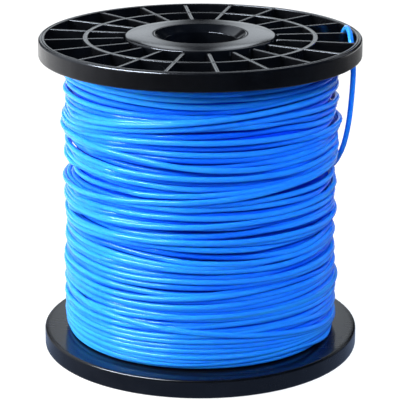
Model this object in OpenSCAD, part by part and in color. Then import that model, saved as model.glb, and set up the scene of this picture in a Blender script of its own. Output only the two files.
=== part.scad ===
// Round plastic spool, wound full of thick round nylon line.
// Frame: millimetres, +Z up along the bore, origin on the floor under the middle of the spool.

/* [Flanges] */
// Outer diameter of both flanges
flange_d = 160; // [150:1:180]
// Overall height from the rim of one flange to the rim of the other
spool_h = 160; // [120:1:200]
// Depth of one flange, from its rim's outer face to its smooth inner face
flange_h = 9.5; // [8:0.5:14]
// Wall of the rim
rim_t = 3.2; // [2.4:0.1:4]
// Radius on the two outer edges of the rim
rim_edge = 1.3; // [0.5:0.1:1.6]
// Thickness of the smooth plate that the line is wound against
plate_t = 2; // [1.6:0.1:3]

/* [Ribs] */
// Number of radial ribs on each flange
rib_count = 20; // [12:1:24]
// Thickness of each radial rib
rib_t = 2; // [1.2:0.1:3]
// How far the tops of the ribs lie below the rim's outer face
rib_drop = 0.3; // [0.1:0.1:2]
// Angle of the first rib from +X, seen from outside the flange
rib_turn = 6; // [0:0.5:9]
// Gap between the ribs' inner ends and the hub cap
rib_gap = 0.6; // [0.3:0.1:1.5]
// Outer diameter of the ring rib that crosses the radial ribs
ring_rib_d = 116; // [96:1:130]
// Thickness of the ring rib
ring_rib_t = 2.4; // [1.2:0.1:3]

/* [Hub] */
// Diameter of the through-bore
bore_d = 36; // [28:0.5:38]
// Diameter of the funnel's mouth
funnel_d = 45; // [42:0.5:48]
// Depth of the funnel below the cap's highest edge
funnel_depth = 3.2; // [2:0.1:5]
// Outer diameter of the hub caps
hub_d = 74.4; // [72:0.1:80]
// Thickness of a hub cap's face
cap_t = 2.4; // [1.6:0.1:3]
// Wall of a hub cap's skirt and of its spigot
cap_wall = 2; // [1.4:0.1:2.4]
// Radius on the outer edge of a hub cap
cap_edge = 0.8; // [0.3:0.1:1.2]
// How far the top cap stands above the rim at its outer edge
cap_rise = 0.4; // [0:0.1:0.8]
// How much higher the top cap is at the funnel than at its outer edge
cap_dome = 0.7; // [0.2:0.1:1.2]
// How far the spigot reaches into the barrel
spigot_l = 6; // [4:0.5:10]
// Length of a hub cap's sleeve below the flange's inner face
sleeve_l = 3; // [2:0.5:8]

/* [Barrel] */
// Outer diameter of the barrel that the line is wound on
barrel_d = 68; // [66:0.5:70]
// Wall of the barrel
barrel_wall = 2.5; // [2:0.1:3]
// Depth of the seat that each end of the barrel stands in
seat_depth = 0.8; // [0.4:0.1:1.2]
// Wall of the arbor tube around the bore
arbor_wall = 2.2; // [1.6:0.1:3]
// Number of webs that centre the arbor tube in the barrel
web_count = 6; // [3:1:6]
// Thickness of each web
web_t = 1.6; // [1:0.1:3]
// Height of the anchor hole above the end of the bottom cap's spigot
anchor_rise = 6; // [4:0.5:30]

/* [Line] */
// Diameter of the line
line_d = 2.7; // [2:0.1:3]
// Outer diameter of the wound line at the top flange
wound_top_d = 135; // [126:0.5:137]
// Outer diameter of the wound line at half height
wound_mid_d = 134.5; // [126:0.5:136]
// Outer diameter of the wound line at the bottom flange
wound_bottom_d = 139; // [126:0.5:140]
// Diameter at which the inner layers end and the outer layers begin
layer_d = 116; // [90:1:118]
// Diameter of the holes that the line passes through
line_hole_d = 4.4; // [3.6:0.1:4.6]
// Distance from the rim's inner wall to the middle of each line hole in the flanges
line_hole_inset = 2.5; // [2.4:0.1:6]
// Angle from a rib to the line hole on each side of it
line_hole_turn = 10.5; // [8:0.5:12]
// How far the bottom flange is turned about the bore from the top one
bottom_turn = 108; // [0:1:180]

/* [Fits] */
// Radial clearance between plastic pieces that plug together
fit = 0.15; // [0.05:0.05:0.3]
// Radial clearance between the barrel and the layers of line
slack = 0.1; // [0.05:0.05:0.3]

/* [Hidden] */
$fn = 96;
eps = 0.01;
black = [0.09, 0.09, 0.1];
blue = [0.08, 0.42, 0.9];
deep_blue = [0.04, 0.2, 0.6];

flange_r = flange_d / 2;
rim_in_r = flange_r - rim_t;
plate_z = flange_h - plate_t;
rib_z = plate_z - rib_drop;
hub_r = hub_d / 2;
rib_start_r = hub_r + rib_gap;
bore_r = bore_d / 2;
funnel_r = funnel_d / 2;
barrel_r = barrel_d / 2;
barrel_in_r = barrel_r - barrel_wall;
spigot_r = barrel_in_r - fit;
arbor_r = bore_r + arbor_wall;
spigot_end_z = flange_h + spigot_l;
sleeve_end_z = flange_h + sleeve_l;
seat_z = flange_h - seat_depth;
wound_in_r = barrel_r + slack;
line_r = line_d / 2;
line_hole_r = rim_in_r - line_hole_inset;
anchor_z = spigot_end_z + anchor_rise;
anchor_turn = 180 / web_count;

// Shape of the rim in section: a tall bar with round outer edges
module rim_section() {
    translate([rim_in_r, 0]) square([rim_t - rim_edge, flange_h]);
    translate([rim_in_r, rim_edge]) square([rim_t, flange_h - 2 * rim_edge]);
    for (z = [rim_edge, flange_h - rim_edge])
        translate([flange_r - rim_edge, z]) circle(rim_edge);
}

// Flat plate between the barrel and the rim, with the hole for the cap's spigot
module plate() {
    rotate_extrude()
        translate([barrel_in_r, plate_z]) square([rim_in_r - barrel_in_r + eps, plate_t]);
}

// One radial rib, with a round inner end
module rib() {
    translate([0, 0, rib_drop]) linear_extrude(rib_z + eps) {
        translate([rib_start_r + rib_t / 2, 0]) circle(d = rib_t);
        translate([rib_start_r + rib_t / 2, -rib_t / 2])
            square([rim_in_r - rib_start_r - rib_t / 2 + eps, rib_t]);
    }
}

module ring_rib() {
    rotate_extrude()
        translate([ring_rib_d / 2 - ring_rib_t, rib_drop]) square([ring_rib_t, rib_z + eps]);
}

// The two holes that park the line's end, one in the pocket on each side of the first rib
module line_holes() {
    for (side = [-1, 1])
        rotate([0, 0, side * line_hole_turn - rib_turn])
            translate([line_hole_r, 0, plate_z - eps]) cylinder(h = plate_t + 2 * eps, d = line_hole_d);
}

// Flange moulding with its rim face at z = 0 and its smooth inner face at z = flange_h
module flange() {
    difference() {
        union() {
            rotate_extrude() rim_section();
            plate();
            ring_rib();
            for (i = [0 : rib_count - 1])
                rotate([0, 0, i * 360 / rib_count - rib_turn]) rib();
        }
        translate([0, 0, seat_z]) cylinder(h = seat_depth + eps, r = barrel_r + fit);
        line_holes();
    }
}

// Hub cap in section: face with a funnel, skirt that stands on the flange's plate,
// spigot that plugs into the barrel, and sleeve that continues the bore.
// rise and dome lift the face above the rim face, which is at z = 0.
module cap_section(rise, dome) {
    high_z = -rise - dome;
    funnel_z = high_z + funnel_depth;
    polygon([[funnel_r, high_z], [hub_r - cap_edge, -rise], [hub_r - cap_edge, cap_t],
             [arbor_r, cap_t], [arbor_r, sleeve_end_z], [bore_r, sleeve_end_z], [bore_r, funnel_z]]);
    translate([hub_r - cap_edge, cap_edge - rise]) circle(cap_edge);
    translate([hub_r - cap_wall, cap_edge - rise]) square([cap_wall, plate_z - cap_edge + rise]);
    translate([spigot_r - cap_wall, cap_t - eps]) square([cap_wall, spigot_end_z - cap_t + eps]);
}

// Tube that the line is wound on, with the hole that anchors the line's start
module barrel() {
    color(black) difference() {
        translate([0, 0, seat_z]) cylinder(h = spool_h - 2 * seat_z, r = barrel_r);
        translate([0, 0, seat_z - 1]) cylinder(h = spool_h - 2 * seat_z + 2, r = barrel_in_r);
        translate([0, 0, anchor_z]) rotate([0, 90, anchor_turn])
            cylinder(h = barrel_d, d = line_hole_d);
    }
}

// Tube around the bore, with the webs that centre it in the barrel
module arbor_tube() {
    web_z = spigot_end_z + fit;
    color(black) difference() {
        union() {
            translate([0, 0, sleeve_end_z]) cylinder(h = spool_h - 2 * sleeve_end_z, r = arbor_r);
            for (i = [0 : web_count - 1])
                rotate([0, 0, i * 360 / web_count])
                    translate([bore_r + arbor_wall / 2, -web_t / 2, web_z])
                        cube([barrel_in_r - fit - bore_r - arbor_wall / 2, web_t, spool_h - 2 * web_z]);
        }
        translate([0, 0, sleeve_end_z - 1]) cylinder(h = spool_h - 2 * sleeve_end_z + 2, r = bore_r);
    }
}

// The two flanges are one moulding: the top one is turned over about the X axis
module top_flange() {
    color(black) translate([0, 0, spool_h]) rotate([180, 0, 0]) flange();
}

module bottom_flange() {
    color(black) rotate([0, 0, bottom_turn]) flange();
}

module top_hub_cap() {
    color(black) translate([0, 0, spool_h]) rotate([180, 0, 0])
        rotate_extrude() cap_section(cap_rise, cap_dome);
}

// The bottom cap is flat and flush, so the spool stands on its rim
module bottom_hub_cap() {
    color(black) rotate_extrude() cap_section(0, 0);
}

// Inner layers of the wound line, as one ring around the barrel
module line_inner_layers() {
    color(deep_blue) rotate_extrude()
        translate([wound_in_r, flange_h]) square([layer_d / 2 - wound_in_r, spool_h - 2 * flange_h]);
}

// Outer layers of the wound line: nearly straight, and widest at the bottom flange
module line_outer_layers() {
    in_r = layer_d / 2 + slack;
    color(blue) rotate_extrude()
        polygon([[in_r, flange_h], [wound_bottom_d / 2, flange_h], [wound_mid_d / 2, spool_h / 2],
                 [wound_top_d / 2, spool_h - flange_h], [in_r, spool_h - flange_h]]);
}

// Cord: an eight-sided tube swept along a smooth curve through a route's points
cord_sides = 8;
cord_steps = 3;

// Point on the curve (Catmull-Rom) between route points i and i + 1, with t from 0 to 1
function route_at(p, i) = p[max(0, min(len(p) - 1, i))];
function curve_point(p, i, t) =
    let (a = route_at(p, i - 1), b = route_at(p, i), c = route_at(p, i + 1), d = route_at(p, i + 2))
    0.5 * (2 * b + (c - a) * t + (2 * a - 5 * b + 4 * c - d) * t * t + (3 * b - a - 3 * c + d) * t * t * t);
function curve(p) =
    concat([for (i = [0 : len(p) - 2]) for (s = [0 : cord_steps - 1]) curve_point(p, i, s / cord_steps)],
           [p[len(p) - 1]]);
function unit(v) = v / norm(v);
function heading(c, i) = unit(c[min(len(c) - 1, i + 1)] - c[max(0, i - 1)]);
// Side direction carried from ring to ring, so that the tube does not twist
function side_next(s, h) = unit(s - (s * h) * h);
function sides(c, s0) =
    [for (i = 0, s = side_next(s0, heading(c, 0)); i < len(c); i = i + 1,
          s = side_next(s, heading(c, min(i, len(c) - 1)))) s];

module cord(route, first_side) {
    c = curve(route);
    s = sides(c, first_side);
    n = cord_sides;
    last = len(c) - 1;
    points = [for (i = [0 : last]) for (k = [0 : n - 1])
              let (h = heading(c, i), b = cross(h, s[i]), w = 360 * k / n)
              c[i] + line_r * (cos(w) * s[i] + sin(w) * b)];
    walls = [for (i = [0 : last - 1]) for (k = [0 : n - 1])
             let (a = i * n + k, b = i * n + (k + 1) % n) [a, a + n, b + n, b]];
    start_cap = [for (k = [0 : n - 1]) k];
    end_cap = [for (k = [0 : n - 1]) last * n + n - 1 - k];
    polyhedron(points, concat(walls, [start_cap, end_cap]));
}

// The line's start, from the outside of the barrel in through the anchor hole and along the wall.
// The route starts at the barrel's outer face, in the middle of the hole.
anchor_route = [[0, 0, 0], [-3, 0, 0], [-6, 0.8, 0], [-7.8, 3, 0.4], [-8.6, 6.4, 1.2], [-9.8, 9.8, 2.2]];
module line_anchored_end() {
    color(blue) rotate([0, 0, anchor_turn]) translate([barrel_r, 0, anchor_z])
        cord(anchor_route, [0, 0, 1]);
}

// The line's free end: off the back of the winding, up the side, out through one line hole,
// over a rib and back down through the other hole
tail_route = [[44.3, 52.6, 74], [50.9, 46.2, 76.5], [56.8, 38.9, 79], [61.9, 30.8, 82], [65.7, 22.8, 85.6],
              [68.4, 15, 90], [70.3, 9, 95.6], [72, 4.2, 101.8], [73.3, 1, 109], [74.4, -1.4, 118],
              [75.1, -2.8, 128], [75.5, -4.4, 138], [75.4, -5.6, 145.5], [74.6, -5.8, 151.5],
              [74.3, -4.4, 156.9], [73.9, -0.6, 160.6], [73.5, 5, 161.7], [73.2, 10, 161.6],
              [72.8, 14.9, 160.5], [72.1, 18.9, 157.7], [71.5, 20.9, 154.2], [71.2, 21.2, 150.5], [71.2, 21.2, 147]];
module line_tail() {
    color(blue) cord(tail_route, [0, 0, 1]);
}

top_flange();
bottom_flange();
barrel();
arbor_tube();
top_hub_cap();
bottom_hub_cap();
line_inner_layers();
line_outer_layers();
line_anchored_end();
line_tail();
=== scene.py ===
"""Dresses a round black plastic spool that is wound full of thick blue nylon line.

Every length in the classes is in millimetres, as on the maker's drawing, and becomes metres only
where a mesh or a lamp is made. Angles are in degrees around +Z from +X, unless a name says otherwise.
"""

import logging
import math
from dataclasses import dataclass, field
from functools import reduce

import bpy
import numpy as np
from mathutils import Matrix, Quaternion, Vector


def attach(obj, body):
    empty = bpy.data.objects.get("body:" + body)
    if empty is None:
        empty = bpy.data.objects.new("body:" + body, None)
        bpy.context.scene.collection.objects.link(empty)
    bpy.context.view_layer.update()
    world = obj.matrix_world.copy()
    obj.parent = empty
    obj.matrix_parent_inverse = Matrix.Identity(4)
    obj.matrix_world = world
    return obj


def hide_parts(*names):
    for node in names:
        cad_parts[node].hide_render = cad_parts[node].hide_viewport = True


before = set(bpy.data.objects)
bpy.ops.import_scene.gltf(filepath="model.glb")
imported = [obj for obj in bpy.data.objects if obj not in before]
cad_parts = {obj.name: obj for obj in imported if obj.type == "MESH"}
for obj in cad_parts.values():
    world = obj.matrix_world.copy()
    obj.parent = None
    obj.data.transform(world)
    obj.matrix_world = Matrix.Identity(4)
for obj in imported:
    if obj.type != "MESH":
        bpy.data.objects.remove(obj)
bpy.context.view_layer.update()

log = logging.getLogger("spool")
MM = 0.001
TAU = 2 * math.pi
UV_MAP = "UVMap"
# Name of the cord's attribute that holds its painted shade: how far each stretch lies below its
# neighbours.
PAINTED_SHADE_NAME = "shade_depth"

Array = np.ndarray
Colour = tuple[float, float, float]
Numbers = tuple[float, ...]
Socket = bpy.types.NodeSocket
Value = Socket | float | Numbers


# ---- Small numeric helpers ----


def smooth_step(low: float, high: float, x: Array) -> Array:
    """Rises from 0 at low to 1 at high along the cubic 3t^2 - 2t^3."""
    t = np.clip((x - low) / (high - low), 0.0, 1.0)
    return t * t * (3 - 2 * t)


def blur(values: Array, sigma: float) -> Array:
    """Gaussian average of evenly spaced values.

    Args:
        values: The values along the line.
        sigma: Width of the bell, in samples.

    Returns:
        The averaged values, as many as came in. The ends are held level.
    """
    reach = max(1, int(round(3 * sigma)))
    offsets = np.arange(-reach, reach + 1)
    bell = np.exp(-0.5 * (offsets / sigma) ** 2)
    padded = np.pad(values, reach, mode="edge")
    return np.convolve(padded, bell / bell.sum(), mode="valid")


def slow_wave(
    turns: Array, rng: np.random.Generator, amplitude: float, rates: tuple[float, float]
) -> Array:
    """Sum of five sines in the number of turns, with random rates and phases.

    Args:
        turns: Where along the cord, in turns.
        rng: The seeded source of the rates and phases.
        amplitude: Root-mean-square size of the sum, in millimetres.
        rates: Lowest and highest number of waves in one turn.

    Returns:
        The wave at each place.
    """
    rate = rng.uniform(*rates, 5)
    phase = rng.uniform(0, TAU, 5)
    waves = np.sin(TAU * rate[:, None] * turns[None, :] + phase[:, None])
    return amplitude * waves.sum(0) / math.sqrt(2.5)


# ---- Meshes from arrays ----


def grid_faces(rows: int, columns: int, close_rows: bool, close_columns: bool) -> Array:
    """Corner numbers of the quads of a grid whose vertex (i, j) has number i * columns + j.

    Args:
        rows: Number of rows of vertices.
        columns: Number of vertices in a row.
        close_rows: Whether the last row joins the first.
        close_columns: Whether the last column joins the first.

    Returns:
        An array of four corner numbers for each quad.
    """
    i = np.arange(rows if close_rows else rows - 1)[:, None]
    j = np.arange(columns if close_columns else columns - 1)[None, :]
    i2 = (i + 1) % rows
    j2 = (j + 1) % columns
    corners = (i * columns + j, i * columns + j2, i2 * columns + j2, i2 * columns + j)
    return np.stack(np.broadcast_arrays(*corners), -1).reshape(-1, 4)


def enclosed_volume(points: Array, faces: list[list[int]]) -> float:
    """Volume inside a closed surface, below zero where its faces look inwards.

    It is the sum over the quads of a . ((b - a) x (c - a) + (c - a) x (d - a)) / 6. Faces with other
    numbers of corners are few and small, and are left out.
    """
    a, b, c, d = (points[corner] for corner in np.array([face for face in faces if len(face) == 4]).T)
    return float((a * (np.cross(b - a, c - a) + np.cross(c - a, d - a))).sum() / 6)


def make_piece(
    name: str, points_mm: Array, faces: list[list[int]] | Array, smooth: bool = True
) -> bpy.types.Object:
    """Puts points and faces into a new object at the origin.

    Args:
        name: Name of the piece.
        points_mm: Vertices in millimetres, in any grid shape whose last axis is x, y, z.
        faces: Corner numbers of each face.
        smooth: Whether the faces are shaded smooth.

    Returns:
        The new object, linked to the scene.
    """
    mesh = bpy.data.meshes.new(name)
    points_mm = points_mm.reshape(-1, 3)
    rows = faces.tolist() if isinstance(faces, np.ndarray) else faces
    if enclosed_volume(points_mm, rows) < 0:
        rows = [row[::-1] for row in rows]
    mesh.from_pydata((points_mm * MM).tolist(), [], rows)
    mesh.validate()
    mesh.polygons.foreach_set("use_smooth", np.full(len(mesh.polygons), smooth))
    mesh.update()
    piece = bpy.data.objects.new(name, mesh)
    bpy.context.scene.collection.objects.link(piece)
    return piece


def revolved(radius: Array | float, angle: Array | float, z: Array | float) -> Array:
    """Points x = r cos(a), y = r sin(a), z for radii, angles in radians and heights."""
    return np.stack([radius * np.cos(angle), radius * np.sin(angle), z + 0 * angle], -1)


def add_uv(piece: bpy.types.Object, u: Array, v: Array) -> None:
    """Gives each face corner the u and v of its vertex."""
    mesh = piece.data
    layer = mesh.uv_layers.new(name=UV_MAP)
    corner = np.empty(len(mesh.loops), dtype=np.int64)
    mesh.loops.foreach_get("vertex_index", corner)
    pairs = np.stack([u.ravel()[corner], v.ravel()[corner]], -1)
    layer.data.foreach_set("uv", pairs.astype(np.float32).ravel())


def put_material(piece: bpy.types.Object, material: bpy.types.Material) -> None:
    """Gives a piece one material in place of all it had."""
    piece.data.materials.clear()
    piece.data.materials.append(material)


def stand_in(piece: bpy.types.Object, node: str, material: bpy.types.Material) -> None:
    """Puts a finished piece in its CAD node's place.

    Args:
        piece: The piece.
        node: The CAD node that it replaces.
        material: Its material.
    """
    put_material(piece, material)
    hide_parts(node)
    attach(piece, "root")


# ---- Shader graphs ----


class Graph:
    """A shader node tree with short calls for its nodes and links."""

    def __init__(self, tree: bpy.types.NodeTree) -> None:
        """Keeps the tree that the nodes go into."""
        self.tree = tree

    def node(self, kind: str, settings: dict | None = None, **sockets: Value) -> bpy.types.Node:
        """Adds a node.

        Args:
            kind: Blender's name of the node type.
            settings: Values for the node's own properties.
            **sockets: Value or output socket for each input, by the input's name with _ for a space,
                or by in0, in1 and so on for its number.

        Returns:
            The new node.
        """
        made = self.tree.nodes.new(kind)
        for key, value in (settings or {}).items():
            setattr(made, key, value)
        for key, value in sockets.items():
            numbered = key.startswith("in") and key[2:].isdigit()
            socket = made.inputs[int(key[2:])] if numbered else made.inputs[key.replace("_", " ")]
            if isinstance(value, Socket):
                self.tree.links.new(value, socket)
            else:
                socket.default_value = value
        return made

    def math(self, operation: str, a: Value, b: Value = 0.0, clamp: bool = False) -> Socket:
        """Adds a Math node and returns its output."""
        made = self.node("ShaderNodeMath", {"operation": operation, "use_clamp": clamp}, in0=a, in1=b)
        return made.outputs[0]

    def times(self, *factors: Value) -> Socket:
        """Multiplies two or more values."""
        return reduce(lambda a, b: self.math("MULTIPLY", a, b), factors)

    def plus(self, *terms: Value) -> Socket:
        """Adds two or more values."""
        return reduce(lambda a, b: self.math("ADD", a, b), terms)

    def largest(self, *values: Value) -> Socket:
        """Takes the largest of two or more values."""
        return reduce(lambda a, b: self.math("MAXIMUM", a, b), values)

    def less(self, a: Value, b: Value) -> Socket:
        """Takes b away from a."""
        return self.math("SUBTRACT", a, b)

    def ramp(
        self, value: Value, low: float, high: float, to_low: float = 0.0, to_high: float = 1.0
    ) -> Socket:
        """Adds a smooth Map Range node and returns its output."""
        made = self.node("ShaderNodeMapRange", {"interpolation_type": "SMOOTHSTEP"}, Value=value,
                         From_Min=low, From_Max=high, To_Min=to_low, To_Max=to_high)
        return made.outputs["Result"]

    def window(self, value: Value, a: float, b: float, c: float, d: float) -> Socket:
        """Rises smoothly from 0 at a to 1 at b, and falls to 0 again from c to d."""
        return self.times(self.ramp(value, a, b), self.ramp(value, c, d, 1.0, 0.0))

    def xyz(self, vector: Value) -> bpy.types.bpy_prop_collection:
        """Splits a vector into its x, y and z."""
        return self.node("ShaderNodeSeparateXYZ", Vector=vector).outputs

    def noise(
        self, vector: Value, scale: float, detail: float = 2.0, roughness: float = 0.5
    ) -> Socket:
        """Adds a Noise Texture and returns its value, about 0.5 on average."""
        return self.node("ShaderNodeTexNoise", Vector=vector, Scale=scale, Detail=detail,
                         Roughness=roughness).outputs[0]

    def mix(self, factor: Value, a: Value, b: Value) -> Socket:
        """Mixes two colours and returns the result."""
        made = self.node("ShaderNodeMix", {"data_type": "RGBA"})
        for number, value in ((0, factor), (6, a), (7, b)):
            if isinstance(value, Socket):
                self.tree.links.new(value, made.inputs[number])
            else:
                made.inputs[number].default_value = value
        return made.outputs[2]


def plain_graph(tree: bpy.types.NodeTree) -> tuple[Graph, bpy.types.bpy_prop_collection]:
    """Empties a tree.

    Args:
        tree: The tree of a material or of the world.

    Returns:
        Its graph, and the outputs of a new Light Path node.
    """
    tree.nodes.clear()
    graph = Graph(tree)
    return graph, graph.node("ShaderNodeLightPath").outputs


@dataclass
class NewMaterial:
    """A new material with a Principled shader, and short calls for its sockets.

    Attributes:
        name: Name of the material.
    """

    name: str

    def __post_init__(self) -> None:
        """Makes the material."""
        self.material = bpy.data.materials.new(self.name)
        self.material.use_nodes = True
        self.graph = Graph(self.material.node_tree)
        self.shader = self.material.node_tree.nodes["Principled BSDF"]

    def constants(self, values: dict[str, float | Numbers]) -> None:
        """Sets plain values on the shader's own sockets."""
        for socket, value in values.items():
            self.shader.inputs[socket].default_value = value

    def link(self, socket: str, value: Socket) -> None:
        """Links a value to one of the shader's sockets."""
        self.graph.tree.links.new(value, self.shader.inputs[socket])

    def bump(self, height: Socket, strength: float, distance: float) -> None:
        """Lets a height bump the shader's normal."""
        bump = self.graph.node("ShaderNodeBump", Strength=strength, Distance=distance, Height=height)
        self.link("Normal", bump.outputs[0])


def new_group(
    name: str, inputs: dict[str, float], outputs: tuple[str, ...]
) -> tuple[Graph, bpy.types.bpy_prop_collection, bpy.types.bpy_prop_collection]:
    """Starts a shader node group.

    Args:
        name: Name of the group.
        inputs: Name and default value of each float input. The one named Vector is a vector.
        outputs: Names of its float outputs.

    Returns:
        The group's graph, the sockets that its inputs come from and those that its outputs go to.
    """
    tree = bpy.data.node_groups.new(name, "ShaderNodeTree")
    for key, value in inputs.items():
        kind = "NodeSocketVector" if key == "Vector" else "NodeSocketFloat"
        socket = tree.interface.new_socket(name=key, in_out="INPUT", socket_type=kind)
        if kind == "NodeSocketFloat":
            socket.default_value = value
    for key in outputs:
        tree.interface.new_socket(name=key, in_out="OUTPUT", socket_type="NodeSocketFloat")
    source, sink = (tree.nodes.new(kind) for kind in ("NodeGroupInput", "NodeGroupOutput"))
    return Graph(tree), source.outputs, sink.inputs


def moulded_skin_group() -> bpy.types.NodeTree:
    """Builds the surface of moulded plastic: fine grain, flow clouds and hair scratches.

    The height is a fine noise times Grain, plus a slow noise times Flow. The roughness is Base plus
    Spread times a cloud noise, and each hair scratch, a thin crest of a stretched noise, adds Scratch.
    Mask is the cloud noise.

    Returns:
        The group.
    """
    inputs = {"Vector": 0, "Base": 0.3, "Spread": 0.1, "Scratch": 0.1, "Grain": 0.5, "Flow": 0.5}
    g, source, sink = new_group("moulded_skin", inputs, ("Roughness", "Height", "Mask"))
    where = source["Vector"]
    grain = g.noise(where, 1500.0, 2.0, 0.6)
    flow = g.noise(where, 55.0, 3.0, 0.55)
    cloud = g.noise(where, 95.0, 4.0, 0.6)
    turned = g.node("ShaderNodeMapping", Vector=where, Rotation=(0.3, 0.2, 0.6),
                    Scale=(40.0, 900.0, 300.0)).outputs[0]
    crest = g.math("ABSOLUTE", g.less(g.noise(turned, 1.0, 1.0, 0.4), 0.5))
    hair = g.ramp(crest, 0.0, 0.02, 1.0, 0.0)
    patch = g.ramp(g.noise(where, 38.0, 2.0, 0.5), 0.52, 0.66)
    wander = g.times(source["Spread"], g.less(cloud, 0.5))
    rough = g.plus(source["Base"], wander, g.times(source["Scratch"], g.times(hair, patch)))
    fine = g.times(source["Grain"], g.less(grain, 0.5))
    slow = g.times(source["Flow"], g.less(flow, 0.5))
    for value, socket in ((rough, "Roughness"), (g.plus(fine, slow), "Height"), (cloud, "Mask")):
        g.tree.links.new(value, sink[socket])
    return g.tree


@dataclass(frozen=True)
class BlackPlastic:
    """Black moulded plastic.

    Attributes:
        name: Name of the material.
        colour: Base colour.
        base: Roughness of a clean face.
        spread: How much the roughness wanders.
        scratch: Roughness that a hair scratch adds.
        grain: Height of the fine grain, in units of 0.01 mm, as for the two below.
        flow: Height of the slow flow marks.
        rings: Height of the fine concentric tool marks, 0 for none.
        specular: Strength of its reflections, where 0.5 is plain.
        tint: Colour of its reflections.
    """

    name: str
    colour: Colour
    base: float
    spread: float = 0.1
    scratch: float = 0.12
    grain: float = 0.5
    flow: float = 1.0
    rings: float = 0.0
    specular: float = 0.5
    tint: Colour = (0.86, 0.9, 1.0)

    def material(self, skin: bpy.types.NodeTree) -> bpy.types.Material:
        """Builds the material.

        Args:
            skin: The moulded_skin group.

        Returns:
            The new material.
        """
        made = NewMaterial(self.name)
        g = made.graph
        place = g.node("ShaderNodeTexCoord").outputs["Object"]
        group = g.node("ShaderNodeGroup", {"node_tree": skin}, Vector=place, Base=self.base,
                       Spread=self.spread, Scratch=self.scratch, Grain=self.grain, Flow=self.flow)
        light = tuple(min(1.0, 1.7 * c) for c in self.colour)
        cloud = g.ramp(group.outputs["Mask"], 0.35, 0.7)
        made.link("Base Color", g.mix(cloud, (*self.colour, 1), (*light, 1)))
        made.link("Roughness", group.outputs["Roughness"])
        height = group.outputs["Height"]
        if self.rings:
            x, y, _ = g.xyz(place)
            radius = g.math("SQRT", g.plus(g.times(x, x), g.times(y, y)))
            line = g.node("ShaderNodeCombineXYZ", X=radius).outputs[0]
            height = g.plus(height, g.times(g.noise(line, 2600.0, 1.0), self.rings))
        made.bump(height, 1.0, 0.00001)
        made.constants({
            "IOR": 1.5, "Specular IOR Level": self.specular, "Specular Tint": (*self.tint, 1.0),
        })
        return made.material


@dataclass(frozen=True)
class BlueLine:
    """Bright blue extruded nylon line, glossy, with faint lines along it.

    Attributes:
        name: Name of the material.
        bright: Colour of a stretch that stands proud.
        painted_shade: Painted shade colour, for a stretch that lies lower than its neighbours.
        roughness: Roughness of the skin, on average.
        wander: How far the roughness goes up and down around that.
    """

    name: str
    bright: Colour = (0.02, 0.25, 0.87)
    painted_shade: Colour = (0.005, 0.115, 0.77)
    roughness: float = 0.15
    wander: float = 0.05

    def material(self) -> bpy.types.Material:
        """Builds the material, whose pattern follows the cord's UV map: u along it, v around it.

        Returns:
            The new material.
        """
        made = NewMaterial(self.name)
        g = made.graph
        along, around, _ = g.xyz(g.node("ShaderNodeUVMap", {"uv_map": UV_MAP}).outputs[0])
        slow = g.node("ShaderNodeCombineXYZ", X=g.times(along, 9.0), Y=around).outputs[0]
        fine = g.node("ShaderNodeCombineXYZ", X=g.times(along, 30.0), Y=g.times(around, 26.0)).outputs[0]
        dye = g.ramp(g.noise(slow, 1.0, 2.0), 0.3, 0.7, -0.12, 0.12)
        lines = g.noise(fine, 1.0, 2.0, 0.6)
        # Painted shade: stretches that lie lower than their neighbours are mixed towards the darker
        # painted_shade colour, and dye adds a random tone.
        shade_depth = g.node("ShaderNodeAttribute", {"attribute_name": PAINTED_SHADE_NAME}).outputs["Fac"]
        dye_and_painted_shade = g.math("ADD", g.less(1.0, shade_depth), dye, clamp=True)
        made.link("Base Color", g.mix(dye_and_painted_shade, (*self.painted_shade, 1), (*self.bright, 1)))
        made.link("Roughness", g.plus(self.roughness - self.wander, g.times(lines, 2 * self.wander)))
        made.bump(lines, 0.04, 0.00004)
        made.constants({
            "IOR": 1.5, "Specular IOR Level": 0.27, "Specular Tint": (0.55, 0.95, 1.0, 1.0),
            "Subsurface Weight": 0.8, "Subsurface Radius": (0.03, 0.1, 0.22), "Subsurface Scale": 0.002,
        })
        return made.material


# ---- The wound line ----


@dataclass(frozen=True)
class Band:
    """Turns laid one after another.

    Each turn's heights are given at five angles across the front, from the right end to the left end.

    Attributes:
        first: Heights of the band's first turn.
        last: Heights of its last turn.
        turns: How many turns.
        slack: How far its last turn stands off the winding on the right.
        proud: How far its turns lie above their neighbours all the way around.
    """

    first: Numbers
    last: Numbers | None = None
    turns: int = 1
    slack: float = 0.0
    proud: float = 0.0

    def heights(self) -> Array:
        """Heights of every turn, evenly shared out between the first and the last."""
        start = np.array(self.first)
        end = np.array(self.last or self.first)
        return start + (end - start) * np.linspace(0.0, 1.0, self.turns)[:, None]


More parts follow.
